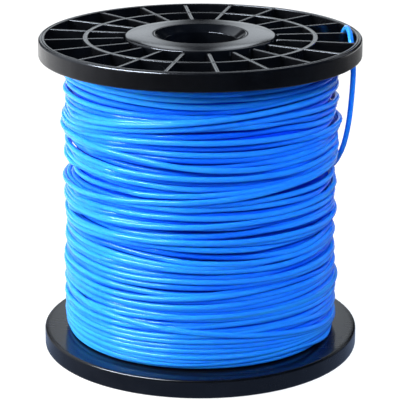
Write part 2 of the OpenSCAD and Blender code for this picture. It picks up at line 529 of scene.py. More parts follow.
DOWN_LAYER = (
    Band((149.1, 149.1, 149.1, 149.1, 149.1)),
    Band((146.3, 146.0, 146.3, 146.6, 146.9)),
    Band((142.8, 143.9, 143.3, 145.0, 146.0)),
    Band((141.2, 141.0, 140.3, 141.9, 142.9)),
    Band((141.2, 140.7, 137.3, 138.2, 139.3)),
    Band((135.0, 135.4, 135.9, 135.2, 135.0)),
    Band((131.9, 133.2, 133.2, 132.2, 131.7)),
    Band((137.0, 137.0, 134.6, 130.9, 128.9)),
    Band((137.8, 137.4, 133.8, 129.6, 126.3), proud=0.8),
    Band((126.8, 130.2, 130.2, 127.2, 124.0), slack=1.2),
    Band((130.6, 133.3, 130.9, 126.9, 123.2), slack=2.0),
    Band((123.4, 127.0, 126.3, 124.3, 121.4)),
    Band((121.0, 122.7, 122.9, 122.5, 119.7)),
    Band((119.2, 119.7, 120.0, 120.1, 117.8), slack=4.4),
    Band((116.6, 116.4, 117.0, 118.0, 116.6)),
    Band((114.8, 114.1, 114.1, 114.7, 115.2)),
    Band((112.8, 112.0, 110.2, 112.3, 113.2)),
    Band((110.8, 109.2, 110.2, 115.5, 118.2), proud=0.5),
    Band((108.2, 107.0, 106.3, 109.1, 110.9)),
    Band((106.7, 105.6, 105.6, 107.1, 109.2)),
    Band((104.6, 102.5, 102.3, 104.6, 107.1)),
    Band((102.6, 100.9, 100.0, 102.0, 104.7)),
    Band((100.6, 99.3, 97.1, 98.9, 102.2)),
    Band((101.8, 99.7, 97.0, 95.9, 95.3)),
    Band((92.6, 93.3, 92.6, 92.0, 92.4)),
    Band((89.0, 90.5, 90.6, 91.2, 90.0)),
    Band((100.4, 98.8, 94.5, 92.2, 90.0), proud=0.9),
    Band((86.8, 86.3, 87.0, 88.2, 87.6)),
    Band((86.2, 85.8, 86.4, 86.6, 85.6)),
    Band((83.6, 83.3, 82.7, 84.0, 83.8)),
    Band((79.9, 80.7, 81.6, 81.6, 81.6)),
    Band((82.3, 83.2, 82.2, 81.0, 80.9)),
    Band((79.0, 78.6, 76.9, 78.1, 78.8)),
    Band((77.2, 77.8, 77.1, 76.1, 76.4)),
    Band((74.6, 75.0, 74.8, 74.4, 74.0), (11.3, 11.3, 11.3, 11.3, 11.3), turns=22),
)
UP_LAYER = (
    Band((14.8, 14.1, 13.3, 12.7, 13.8)),
    Band((16.7, 16.5, 16.5, 15.9, 17.2)),
    Band((17.2, 18.4, 20.0, 19.0, 19.6)),
    Band((16.2, 20.4, 22.5, 21.2, 21.8)),
    Band((17.4, 23.0, 25.4, 24.2, 24.6)),
    Band((24.6, 29.4, 27.7, 25.9, 27.4)),
    Band((32.2, 34.3, 32.6, 29.2, 30.2)),
    Band((18.2, 24.6, 29.7, 33.1, 36.1), proud=1.3),
    Band((37.0, 37.4, 36.8, 37.7, 39.0)),
    Band((37.2, 37.9, 37.3, 35.2, 34.6)),
    Band((42.6, 41.2, 40.6, 40.6, 41.4)),
    Band((44.4, 43.4, 42.1, 41.2, 42.8)),
    Band((46.0, 46.0, 44.6, 44.0, 44.6)),
    Band((52.4, 51.8, 47.0, 48.7, 49.8)),
    Band((47.4, 49.6, 46.6, 44.4, 46.2)),
    Band((52.0, 52.8, 51.8, 51.6, 52.8)),
    Band((54.0, 53.4, 54.5, 54.2, 55.6)),
    Band((56.8, 55.5, 56.8, 57.0, 58.9)),
    Band((59.4, 58.3, 59.9, 59.6, 60.6)),
    Band((61.2, 58.7, 60.4, 61.8, 63.4)),
    Band((62.2, 61.2, 61.0, 63.9, 65.4)),
    Band((64.2, 62.2, 63.8, 67.2, 68.6)),
    Band((66.6, 64.2, 66.9, 70.2, 70.6)),
    Band((69.4, 69.2, 70.6, 71.7, 70.4)),
    Band((70.4, 71.6, 74.0, 74.9, 74.6)),
    Band((71.9, 73.8, 74.6, 74.4, 73.6)),
)


@dataclass
class Winding:
    """The line wound on the barrel: the closed layers below, and one cord for the two outer layers.

    The line is laid one turn after another on a map of the winding's surface, the radius H at each
    angle and height. A turn's own radius is the smallest that clears the map under it, and it then
    bridges each hollow as a taut line does. After each turn the map takes in the turn's round back.

    Attributes:
        line_d: Diameter of the line.
        bottom: Height of the bottom flange's inner face.
        top: Height of the top flange's inner face.
        core_r: Radius at which the map's solid starts.
        knot_angles: Angles at which the bands give their heights.
        steps: Samples of the map around the winding.
        rise: Height between two samples of the map.
        sides: Sides of the tube.
        ring_gap: Distance between two rings of the tube.
        seed: Seed of the small waves.
        contact: Half of the width over which a turn rests on what lies under it. It is less than the
            line's own half width, so turns may be pressed together a little.
        least_gap: Least distance between two turns of a band.
        firm_r: Radius beyond which a turn is pulled into those under it, by 0.62 of its excess.
        base_z: Heights at which the surface of the hidden layers is given.
        base_left: Its radius there on the left.
        base_right: Its radius there on the right.
        sag: How far a slack loop hangs down for each millimetre that it stands off.
        lift: Most that a stretch of a turn stands above what it rests on by chance.
        lift_ease: Width of the bell that rounds what is lifted, in samples.
        bridge: How many samples before the tail's first point the winding ends.
        pack_r: Radius of the closed layers, on average, for their pattern.
        tail: Route of the free end, from the winding up to its tip.
        pieces: The pieces built so far.
    """

    line_d: float = 2.7
    bottom: float = 9.5
    top: float = 150.5
    core_r: float = 58.1
    knot_angles: Numbers = (340.0, 305.0, 270.0, 235.0, 200.0)
    steps: int = 360
    rise: float = 0.3
    sides: int = 12
    ring_gap: float = 4.4
    seed: int = 11
    contact: float = 0.95
    least_gap: float = 2.2
    firm_r: float = 65.8
    base_z: Numbers = (9.5, 27, 34, 42, 50, 60, 72, 80, 87, 97, 108, 116, 122, 131, 150.5)
    base_left: Numbers = (
        61.6, 64.9, 61.2, 60.8, 60.8, 58.4, 58.1, 58.6, 59.4, 58.2, 59.8, 59.2, 58.8, 61.8, 61.2,
    )
    base_right: Numbers = (
        61.6, 66.6, 67.8, 62.0, 58.3, 58.3, 58.6, 60.2, 60.4, 60.2, 60.4, 61.4, 61.2, 59.8, 60.2,
    )
    sag: float = 0.3
    lift: float = 1.1
    lift_ease: float = 14.0
    bridge: int = 14
    pack_r: float = 62.0
    tail: tuple[Numbers, ...] = (
        (44.3, 52.6, 74), (50.9, 46.2, 76.5), (56.8, 38.9, 79), (61.9, 30.8, 82), (65.7, 22.8, 85.6),
        (68.4, 15, 90), (70.3, 9, 95.6), (72, 4.2, 101.8), (73.3, 1, 109), (74.4, -1.4, 118),
        (75.1, -2.8, 128), (75.5, -4.4, 138), (75.4, -5.6, 145.5), (74.6, -5.8, 151.5),
        (74.3, -4.4, 156.9), (73.9, -0.6, 160.6), (73.5, 5, 161.7), (73.2, 10, 161.6),
        (72.8, 14.9, 160.5), (72.1, 18.9, 157.7), (71.5, 20.9, 154.2), (71.2, 21.2, 150.5),
        (71.2, 21.2, 147),
    )
    pieces: list[bpy.types.Object] = field(default_factory=list)

    def __post_init__(self) -> None:
        """Prepares the map."""
        self.radius = self.line_d / 2
        self.rng = np.random.default_rng(self.seed)
        self.heights = np.arange(self.bottom, self.top + self.rise / 2, self.rise)
        sides = (self.base_left, self.base_right)
        left, right = (np.interp(self.heights, self.base_z, side) for side in sides)
        share = 0.5 + 0.5 * np.cos(self.angles(np.arange(self.steps)))[:, None]
        self.map = left + (right - left) * share
        half = int(self.radius / self.rise)
        self.across = np.arange(-half, half + 1)
        self.back = np.sqrt(np.maximum(self.radius**2 - (self.across * self.rise) ** 2, 0.0))
        self.belly = np.abs(self.across) * self.rise <= self.contact

    def angles(self, travel: Array) -> Array:
        """Angle in radians after so many samples of travel: the first knot's, less one step for each."""
        return math.radians(self.knot_angles[0]) - travel * (TAU / self.steps)

    def columns(self, travel: Array) -> Array:
        """Number of the map's column under each sample of travel."""
        return np.mod(travel, self.steps).astype(int)

    def rows(self, z: Array, across: Array) -> Array:
        """Numbers of the map's rows at each height and so many rows above it, kept on the map."""
        middle = np.rint((z - self.bottom) / self.rise).astype(int)
        return np.clip(middle[:, None] + across[None, :], 0, len(self.heights) - 1)

    def support(self, travel: Array, z: Array) -> Array:
        """Smallest radius of the line's middle that clears the map.

        It is the largest, over the line's width, of the map plus the line's half height there.
        """
        under = self.map[self.columns(travel)[:, None], self.rows(z, self.across[self.belly])]
        return (under + self.back[None, self.belly]).max(1)

    def lay(self, travel: Array, z: Array, r: Array) -> None:
        """Raises the map to the line's round back, by the same circle that support uses."""
        columns = self.columns(travel)
        for rows, back in zip(self.rows(z, self.across).T, self.back):
            self.map[columns, rows] = np.maximum(self.map[columns, rows], r + back)

    def clamp(self, z: Array) -> Array:
        """Keeps the line between the flanges."""
        gap = self.radius + 0.05
        return np.clip(z, self.bottom + gap, self.top - gap)

    def settle(self, travel: Array, z: Array) -> Array:
        """Lets a turn slip sideways into the nearest hollow.

        Of seven small shifts, each sample takes the one with the lowest radius plus the shift, and the
        shifts are then averaged along the line.
        """
        shifts = np.linspace(-0.45, 0.45, 7)
        costs = np.stack([self.support(travel, self.clamp(z + s)) + abs(s) for s in shifts])
        return self.clamp(z + blur(shifts[costs.argmin(0)], 9.0))

    def taut(self, r: Array, fixed: int) -> Array:
        """Stretches a line over its supports.

        Between two points at radii a and b, 2s apart in angle, a straight line passes the middle at
        2ab cos(s) / (a + b). The radius is raised to that for spans from wide to narrow.

        Args:
            r: Radius that each sample needs at least.
            fixed: How many samples at the start are already laid.

        Returns:
            The radius of the stretched line.
        """
        out = r.copy()
        for span in (24, 18, 12, 8, 6, 4, 3, 2, 1) * 2:
            before, after = out[: -2 * span], out[2 * span:]
            chord = 2 * before * after * math.cos(span * TAU / self.steps) / (before + after)
            middle = out[span:-span]
            middle[:] = np.maximum(middle, chord)
        out[:fixed] = r[:fixed]
        return out

    def knots(self, bands: tuple[Band, ...], heading: int) -> tuple[Array, ...]:
        """Reads the bands of a layer.

        Args:
            bands: The bands, in laying order.
            heading: 1 for a layer laid upwards, -1 for one laid downwards.

        Returns:
            For every turn: its heights, its slack, the heading, or 0 for the first of a band, and
            how far it lies above its neighbours.
        """
        heights = np.concatenate([band.heights() for band in bands])
        slack = np.concatenate([np.r_[np.zeros(band.turns - 1), band.slack] for band in bands])
        follows = np.concatenate([np.r_[0, np.full(band.turns - 1, heading)] for band in bands])
        proud = np.concatenate([np.full(band.turns, band.proud) for band in bands])
        return heights, slack, follows, proud

    def route(self, heights: Array) -> Array:
        """Height of the cord at each sample, for turns with the given heights at the knot angles.

        Straight lines join the knots, around the back too, and a bell 9 degrees wide rounds them.
        """
        spans = self.knot_angles[0] - np.array(self.knot_angles)
        at = np.arange(len(heights))[:, None] * 360.0 + spans[None, :]
        samples = np.arange(len(heights) * self.steps) * 360.0 / self.steps
        return blur(np.interp(samples, at.ravel(), heights.ravel()), 9.0)

    def lifts(self, travel: Array) -> Array:
        """How far each sample is lifted: chance values every 0.37 turns, squared, joined and rounded."""
        spacing = 0.37 * self.steps
        values = self.lift * self.rng.uniform(0.0, 1.0, int(len(travel) / spacing) + 2) ** 2
        return blur(np.interp(travel / spacing, np.arange(len(values)), values), self.lift_ease)

    def wind(
        self, z: Array, slack: Array, follows: Array, wave: float, lift: Array
    ) -> tuple[Array, Array]:
        """Lays the cord, turn by turn.

        Args:
            z: Height wanted at each sample of travel.
            slack: Stand-off of each turn at the right end of the front.
            follows: 1 or -1 for a turn that lies just above or below the turn before it, otherwise 0.
            wave: Size of the small random waves.
            lift: How far each sample stands above what it rests on. Half of it is left to the turns
                that are laid on top of it.

        Returns:
            The settled height and the radius at each sample.
        """
        count = len(z)
        travel = np.arange(count)
        turns = travel / self.steps
        starts = travel[None, :] - self.steps * np.flatnonzero(slack)[:, None]
        loops = (slack[slack > 0][:, None] * np.exp(-0.5 * ((starts + 22) / 14.0) ** 2)).sum(0)
        z = z - self.sag * loops
        z = self.clamp(z + slow_wave(turns, self.rng, wave, (0.45, 1.9)))
        z = self.clamp(z + slow_wave(turns, self.rng, wave * 0.3, (2.0, 4.5)))
        out_z, out_r = z.copy(), np.empty(count)
        look = self.steps // 4
        loose = np.abs(slow_wave(turns, self.rng, 0.12, (1.0, 4.0)))
        for turn in range(count // self.steps):
            here = slice(turn * self.steps, (turn + 1) * self.steps)
            ahead = min(count, here.stop + look)
            behind = max(0, here.start - look)
            if follows[turn]:
                before = out_z[here.start - self.steps:here.start]
                gap = np.maximum(follows[turn] * (z[here] - before), self.least_gap)
                z[here] = self.clamp(before + follows[turn] * gap)
            out_z[here.start:ahead] = self.settle(travel[here.start:ahead], z[here.start:ahead])
            if behind < here.start:
                ease = smooth_step(0, 30, np.arange(self.steps, dtype=float))
                jump = out_z[here.start - 1] - out_z[here.start]
                out_z[here] += jump * (1 - ease)
            need = self.support(travel[here.start:ahead], out_z[here.start:ahead])
            need = np.where(need > self.firm_r, self.firm_r + 0.38 * (need - self.firm_r), need)
            laid = out_r[behind:here.start] - lift[behind:here.start]
            r = self.taut(np.concatenate([laid, need]), here.start - behind)
            r = r[here.start - behind:][: self.steps]
            out_r[here] = r + loose[here] + loops[here] + lift[here]
            if behind < here.start:
                jump = out_r[here.start - 1] - out_r[here.start]
                out_r[here] += jump * np.exp(-np.arange(self.steps) / 8.0)
            self.lay(travel[here], out_z[here], out_r[here] - 0.5 * lift[here])
        return out_z, out_r

    def under_layer(self) -> None:
        """Lays the hidden layer that shows through the gaps, from the bottom up."""
        turns, inset = 45, 1.6
        rows = np.linspace(self.bottom + inset, self.top - inset, turns)
        heights = np.repeat(rows[:, None], len(self.knot_angles), 1)
        none = np.zeros(turns)
        self.wind(self.route(heights), none, none, 0.5, np.zeros(turns * self.steps))

    def pack_points(self) -> Array:
        """Surface of the closed layers as one ring: the map outside, a plain wall inside."""
        turn = self.angles(np.arange(self.steps))[:, None]
        inner = np.full((self.steps, 1), self.core_r)
        radius = np.concatenate([inner, self.map[:, ::2], inner], 1)
        z = self.heights[::2]
        return revolved(radius, turn, np.r_[z[0], z, z[-1]])

    def build_pack(self) -> None:
        """Builds the closed layers, with their turns as ridges."""
        self.under_layer()
        points = self.pack_points()
        rows, columns = points.shape[:2]
        piece = make_piece("line_pack", points, grid_faces(rows, columns, True, True))
        arc = np.repeat(np.arange(1, rows + 1)[:, None] * (TAU * self.pack_r * MM / rows), columns, 1)
        add_uv(piece, arc, points[..., 2] / (math.pi * self.line_d))
        self.pieces.append(piece)

    def centre_line(self) -> Array:
        """Middle of the visible cord: the layer laid downwards, the one laid upwards, and the tail."""
        turns = zip(self.knots(DOWN_LAYER, -1), self.knots(UP_LAYER, 1))
        heights, slack, follows, proud = (np.concatenate(pair) for pair in turns)
        travel = np.arange(len(heights) * self.steps)
        lift = self.lifts(travel) + blur(np.repeat(proud, self.steps), self.lift_ease)
        z, r = self.wind(self.route(heights), slack, follows, 0.15, lift)
        wound = revolved(r, self.angles(travel), z)
        tail = self.smooth_tail()
        lead = math.degrees(math.atan2(tail[0, 1], tail[0, 0]))
        cut = int(round((self.knot_angles[0] - lead) * self.steps / 360.0))
        last = len(z) - self.steps + cut
        return np.concatenate([wound[: last - self.bridge], tail])

    def shade_depth(self, path: Array) -> Array:
        """How far each point of the cord sits below its neighbours, from 0 to 1, used as painted shade on
        the cord.

        It is the height of the finished winding 1.8 to 3 mm beside the point, the mean of both sides,
        over the cord's own back, with 0.3 mm taken off and as a share of 0.9 mm.
        """
        turn = np.arctan2(path[:, 1], path[:, 0])
        travel = np.rint((math.radians(self.knot_angles[0]) - turn) * self.steps / TAU)
        columns = self.columns(travel)[:, None]
        beside = np.arange(int(1.8 / self.rise), int(3.0 / self.rise) + 1)
        sides = [self.map[columns, self.rows(path[:, 2], way * beside)].max(1) for way in (-1, 1)]
        over = np.mean(sides, axis=0) - (np.hypot(path[:, 0], path[:, 1]) + self.radius)
        return np.clip((over + 0.3) / 0.9, 0.0, 1.0)

    def smooth_tail(self) -> Array:
        """Points on the smooth (Catmull-Rom) curve through the tail's route."""
        p = np.array(self.tail, dtype=float)
        p = np.concatenate([p[:1], p, p[-1:]])
        t = np.linspace(0, 1, 6, endpoint=False)[None, :, None]
        a, b, c, d = (p[i:len(p) - 3 + i, None, :] for i in range(4))
        square, cube = 2 * a - 5 * b + 4 * c - d, 3 * b - a - 3 * c + d
        curve = 0.5 * (2 * b + (c - a) * t + square * t**2 + cube * t**3)
        return np.concatenate([curve.reshape(-1, 3), p[-1:]])

    def even(self, path: Array) -> tuple[Array, Array]:
        """Spaces points evenly along a path.

        Args:
            path: Points on the path.

        Returns:
            The evenly spaced points and the distance of each along the path.
        """
        for _ in range(2):
            step = np.linalg.norm(np.diff(path, axis=0), axis=1)
            along = np.r_[0.0, np.cumsum(step)]
            count = int(along[-1] / self.ring_gap) + 1
            wanted = np.linspace(0.0, along[-1], count)
            path = np.stack([np.interp(wanted, along, path[:, k]) for k in range(3)], -1)
        return path, wanted

    def build_cord(self) -> None:
        """Around each point of the path stands a ring: its first side points away from the bore, at a
        right angle to the path, and its second is their cross product.
        """
        path, along = self.even(self.centre_line())
        heading = np.gradient(path, axis=0)
        heading /= np.linalg.norm(heading, axis=1, keepdims=True)
        out = path * np.array([1.0, 1.0, 0.0])
        out -= (out * heading).sum(1, keepdims=True) * heading
        out /= np.linalg.norm(out, axis=1, keepdims=True)
        side = np.cross(heading, out)
        w = np.arange(self.sides) * (TAU / self.sides)
        ring = out[:, None, :] * np.cos(w)[None, :, None] + side[:, None, :] * np.sin(w)[None, :, None]
        points = path[:, None, :] + self.radius * ring
        rows = len(path)
        faces = grid_faces(rows, self.sides, False, True)[:, ::-1].tolist()
        faces.append(list(range(self.sides)))
        faces.append([rows * self.sides - 1 - k for k in range(self.sides)])
        piece = make_piece("line_cord", points, faces)
        u = np.repeat(along[:, None] * MM, self.sides, 1)
        v = np.repeat(np.abs(np.linspace(-1, 1, self.sides))[None, :], rows, 0)
        add_uv(piece, u, v)
        # Painted shade for the cord, kept per vertex.
        shade = blur(self.shade_depth(path), 3.0)
        shade = np.repeat(shade[:, None], self.sides, 1).ravel()
        piece.data.attributes.new(PAINTED_SHADE_NAME, "FLOAT", "POINT").data.foreach_set("value", shade)
        self.pieces.append(piece)

    def dress(self, finish: BlueLine, painted_shade: BlueLine) -> None:
        """Gives the cord its blue, gives the closed layers and the hidden CAD line pieces a darker copy
        of it as painted shade, and hands the pieces to the frame.
        """
        # dark is the painted-shade copy of the line's blue.
        material, dark = finish.material(), painted_shade.material()
        pack, cord = self.pieces
        stand_in(pack, "line_outer_layers", dark)
        stand_in(cord, "line_tail", material)
        for node in ("line_inner_layers", "line_anchored_end"):
            put_material(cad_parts[node], dark)


# ---- The black plastic pieces ----


@dataclass(frozen=True)
class Profile:
    """How deep a surface lies at some distance from a feature's middle line or edge.

    Attributes:
        at: Distances, from the middle outwards.
        depth: Depth below the rim's face at each distance.
    """

    at: Numbers
    depth: Numbers

    def __call__(self, distance: Array) -> Array:
        """Straight-line interpolation between the given places."""
        return np.interp(distance, self.at, self.depth)

    def both(self) -> Array:
        """The distances on both sides of the middle, from one side to the other."""
        return np.r_[-np.array(self.at)[:0:-1], self.at]


# Depths down the side of a rib or of the rim's wall, and over the fillet at its foot
SIDE_DEPTHS = (0.95, 6.7, 7.12, 7.4, 7.5)


@dataclass
class EndPiece:
    """A black piece at one end of the spool, drawn with the rim's face at z = 0 and inwards as +Z.

    Attributes:
        name: Name of the piece.
        node: The CAD node that it replaces.
        slot: Its material slot, not used.
        turned_over: Whether it is at the top, turned over about the X axis.
        spool_h: Height of the spool.
        piece: The object, once built.
    """

    name: str
    node: str
    slot: str
    turned_over: bool
    spool_h: float = 160.0
    piece: bpy.types.Object | None = None

    def upright(self, points: Array) -> Array:
        """Turns points over for the top of the spool."""
        if self.turned_over:
            return points * np.array([1.0, -1.0, -1.0]) + np.array([0.0, 0.0, self.spool_h])
        return points

    def dress(self, material: bpy.types.Material) -> None:
        """Gives the piece its plastic and puts it in its CAD node's place."""
        stand_in(self.piece, self.node, material)


@dataclass
class Flange(EndPiece):
    """One ribbed flange, modelled as a depth map over angle and radius and bent into a closed ring.

    In the flange's own frame the rim's face is at z = 0 and the smooth inner face at z = 9.5. The
    depth at a point is the least of the depths that the nearest radial rib, the ring rib and the
    rim's wall give it. The grid's angular lines run along the ribs' edges, at set distances from each
    rib's middle, and its radial lines run along the ring rib's and the rim's edges.

    Attributes:
        turn: Angle that it is turned about Z.
        ribs: Number of radial ribs.
        first_rib: Angle of the first one.
        rib_start: Radius at which the ribs start.
        ring_middle: Radius of the ring rib's middle.
        rim_wall: Radius of the rim's inner wall.
        rib: Form of a radial rib across it.
        ring: Form of the ring rib across it.
        wall: Form of the rim's wall, inwards from it.
        rim_r: Radii of the profile over the rim, from its inner edge to the smooth inner face.
        rim_z: Its heights.
        inner_r: Radii of the profile over the inner face and the barrel's seat, to the hub.
        inner_z: Its heights.
        plain_r: Radial lines between those that follow the ribs and the wall.
        hole_middle: Radius of the line holes' middles.
        hole_r: Radius of a line hole.
        hole_turn: Angle from the first rib to the hole on each side of it.
        hole_sides: Number of sides of a line hole.
    """

    turn: float = 0.0
    ribs: int = 20
    first_rib: float = -6.0
    rib_start: float = 38.8
    ring_middle: float = 56.8
    rim_wall: float = 76.8
    rib: Profile = Profile((0, 0.4, 0.66, 0.84, 0.94, 1.0, 1.015, 1.1, 1.16, 1.3, 1.6),
                           (0.40, 0.37, 0.31, 0.33, 0.42, 0.62, *SIDE_DEPTHS))
    ring: Profile = Profile((0, 0.5, 0.86, 1.04, 1.14, 1.2, 1.215, 1.3, 1.36, 1.5, 1.8),
                            (0.36, 0.34, 0.3, 0.32, 0.42, 0.62, *SIDE_DEPTHS))
    wall: Profile = Profile((0, 0.02, 0.14, 0.2, 0.36, 0.7), (0.6, *SIDE_DEPTHS))
    rim_r: Numbers = (76.84, 76.93, 77.08, 77.3, 77.85, 78.02, 78.14, 78.28, 78.42, 78.54, 78.68,
                      78.85, 79.1, 79.4, 79.65, 79.86, 79.97, 80, 80, 80, 80, 80,
                      79.97, 79.86, 79.65, 79.4, 79.05, 78.7)
    rim_z: Numbers = (0.34, 0.14, 0.04, 0.0, 0.0, 0.05, 0.19, 0.24, 0.19, 0.05, 0.0,
                      0.01, 0.06, 0.18, 0.37, 0.66, 0.97, 1.3, 2.4, 4.75, 7.1, 8.2,
                      8.53, 8.84, 9.13, 9.31, 9.46, 9.5)
    inner_r: Numbers = (77.5, 75.0, 70.0, 62.0, 50.0, 40.0, 34.3, 34.15, 34.15, 33.9, 31.6, 31.5, 31.5)
    inner_z: Numbers = (9.5, 9.5, 9.5, 9.5, 9.5, 9.5, 9.5, 9.4, 8.75, 8.7, 8.7, 8.6, 7.6)
    plain_r: Numbers = (31.6, 34.0, 36.4, 42.0, 46.0, 50.0, 53.0, 60.0, 64.0, 68.0, 71.0, 74.0)
    hole_middle: float = 74.3
    hole_r: float = 2.2
    hole_turn: float = 10.5
    hole_sides: int = 32

    def floor_radii(self) -> Array:
        """Radial lines of the ribbed side, from the hub to the rim's wall."""
        ends = self.rib_start - np.array(self.rib.at)
        wall = self.rim_wall - np.array(self.wall.at)
        return np.sort(np.concatenate([self.plain_r, ends, self.ring_middle + self.ring.both(), wall]))

    def angles_at(self, radius: Array) -> Array:
        """Angle of every angular line at each radius.

        A line at distance t from a rib's middle has the angle of the rib plus asin(t / r). Three more
        lines share out what is left of each pocket's floor.
        """
        pitch = TAU / self.ribs
        beside = np.arcsin(self.rib.both()[:, None] / radius[None, :])
        share = np.array([0.25, 0.5, 0.75])[:, None]
        floor = beside[-1] + share * (pitch + beside[0] - beside[-1])
        sector = np.concatenate([beside, floor])
        starts = math.radians(self.first_rib) + pitch * np.arange(self.ribs)
        return (starts[:, None, None] + sector[None]).reshape(-1, len(radius))

    def depth_at(self, angle: Array, radius: Array) -> Array:
        """Depth of the ribbed side: the least that rib, ring rib and rim wall allow."""
        pitch = TAU / self.ribs
        off = np.mod(angle - math.radians(self.first_rib) + pitch / 2, pitch) - pitch / 2
        side = np.abs(np.sin(off) * radius)
        end = np.maximum(self.rib_start - radius, 0.0)
        rib = self.rib(np.hypot(side, end))
        ring = self.ring(np.abs(radius - self.ring_middle))
        wall = self.wall(self.rim_wall - radius)
        return np.minimum(np.minimum(rib, ring), wall)

    def place(self, points: Array) -> Array:
        """Moves points from the flange's own frame to its place on the spool."""
        c, s = math.cos(math.radians(self.turn)), math.sin(math.radians(self.turn))
        return self.upright(points) @ np.array([[c, s, 0.0], [-s, c, 0.0], [0.0, 0.0, 1.0]])

    def build(self) -> None:
        """Builds the piece and cuts its two line holes."""
        floor_r = self.floor_radii()
        angle = self.angles_at(floor_r)
        floor_z = self.depth_at(angle, floor_r[None, :])
        rest = np.array(self.rim_r + self.inner_r)
        rest_z = np.array(self.rim_z + self.inner_z)
        rows = len(angle)
        angle = np.concatenate([angle, self.angles_at(np.full(len(rest), self.rim_wall))], 1)
        radius = np.concatenate([floor_r, rest])[None, :]
        z = np.concatenate([floor_z, np.broadcast_to(rest_z, (rows, len(rest)))], 1)
        points = self.place(revolved(radius, angle, z))
        self.piece = make_piece(self.name, points, grid_faces(rows, radius.size, True, True))
        for side in (-1, 1):
            cut_hole(self.piece, self.place(self.hole_points(side * self.hole_turn + self.first_rib)))

    def hole_points(self, angle: float) -> Array:
        """Points of the round bar that cuts one line hole: two rings, on both sides of the plate."""
        middle = revolved(self.hole_middle, math.radians(angle), 0.0)
        turn = np.arange(self.hole_sides) * (TAU / self.hole_sides)
        return np.stack([middle + revolved(self.hole_r, turn, z) for z in (5.5, 11.5)])


def cut_hole(piece: bpy.types.Object, rings: Array) -> None:
    """Cuts a round hole in a piece.

    Args:
        piece: The piece, whose mesh is replaced by the cut one.
        rings: The bar to cut away, as two rings of points in millimetres.
    """
    count = rings.shape[1]
    faces = grid_faces(2, count, False, True).tolist()
    faces += [list(range(count))[::-1], list(range(count, 2 * count))]
    if enclosed_volume(rings.reshape(-1, 3), [f for f in faces if len(f) == 4]) < 0:
        faces[-2:] = [face[::-1] for face in faces[-2:]]
    bar = make_piece("bar", rings, faces, smooth=False)
    cut = piece.modifiers.new("hole", "BOOLEAN")
    cut.operation = "DIFFERENCE"
    cut.solver = "EXACT"
    cut.object = bar
    evaluated = piece.evaluated_get(bpy.context.evaluated_depsgraph_get())
    mesh = bpy.data.meshes.new_from_object(evaluated)
    piece.modifiers.clear()
    old = piece.data
    piece.data = mesh
    mesh.name = piece.name
    bpy.data.meshes.remove(old)
    spare = bar.data
    bpy.data.objects.remove(bar)
    bpy.data.meshes.remove(spare)


@dataclass
class HubCap(EndPiece):
    """A hub cap: a profile turned around the bore.

    The profile runs from the bore up the funnel, over the crowned face, down the skirt, back inside
    over the spigot and down to the sleeve.

    Attributes:
        rise: How far the face stands above the rim's face at its outer edge.
        dome: How much higher it is at the funnel's mouth.
        bore_r: Radius of the bore.
        funnel_r: Radius of the funnel's mouth.
        funnel_depth: Depth of the funnel.
        hub_r: Outer radius.
        back_z: Inner face, which is the cap's thickness.
        segments: Number of steps around the bore.
    """

    rise: float = 0.0
    dome: float = 0.0
    bore_r: float = 18.0
    funnel_r: float = 22.5
    funnel_depth: float = 3.2
    hub_r: float = 37.2
    back_z: float = 2.4
    segments: int = 160

    def face(self) -> Array:
        """Radius and z of the crowned face.

        From the funnel to the edge it falls by the dome's height times 0.45 t + 0.55 t^4, where t is
        the share of the way.
        """
        share = np.linspace(0.0, 1.0, 12)
        radius = self.funnel_r + 0.5 + share * (self.hub_r - self.funnel_r - 1.3)
        fall = 0.45 * share + 0.55 * share**4
        return np.stack([radius, -self.rise - self.dome * (1 - fall)], -1)

    def section(self) -> Array:
        """Points of the closed profile, as radius and z."""
        bore, out, edge, back = self.bore_r, self.hub_r, -self.rise, self.back_z
        top = edge - self.dome
        low = top + self.funnel_depth
        lip = [(bore, low + 0.5), (18.01, low + 0.3), (18.06, low + 0.18), (18.15, low + 0.07),
               (18.9, low - 0.42), (19.8, low - 1.03), (20.9, low - 1.8), (21.8, low - 2.45),
               (22.2, low - 2.76), (22.45, top + 0.24), (22.62, top + 0.1), (22.8, top + 0.035)]
        skirt = [(out - 0.55, edge + 0.06), (out - 0.3, edge + 0.17), (out - 0.12, edge + 0.36),
                 (out - 0.02, edge + 0.6), (out, edge + 0.85), (out, 4.0), (out, 7.3), (out - 0.1, 7.5)]
        inside = [(35.3, 7.5), (35.2, 7.4), (35.2, back + 0.2), (35.0, back), (31.5, back),
                  (31.35, back + 0.2), (31.35, 15.2), (31.1, 15.5), (29.6, 15.5), (29.35, 15.2),
                  (29.35, back + 0.2), (29.2, back), (20.4, back), (20.2, back + 0.2),
                  (20.2, 12.3), (20.0, 12.5), (18.2, 12.5), (bore, 12.3)]
        return np.concatenate([lip, self.face(), skirt, inside])

    def build(self) -> None:
        """Turns the profile around the Z axis."""
        section = self.section()
        turn = np.arange(self.segments)[:, None] * (TAU / self.segments)
        points = self.upright(revolved(section[None, :, 0], turn, section[None, :, 1]))
        self.piece = make_piece(self.name, points, grid_faces(self.segments, len(section), True, True))


@dataclass
class Core:
    """The barrel and the arbor tube, whose CAD shapes stay."""

    nodes: tuple[str, ...] = ("barrel", "arbor_tube")

    def dress(self, material: bpy.types.Material) -> None:
        """Gives the CAD pieces their plastic."""
        for node in self.nodes:
            put_material(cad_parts[node], material)


# ---- Studio ----


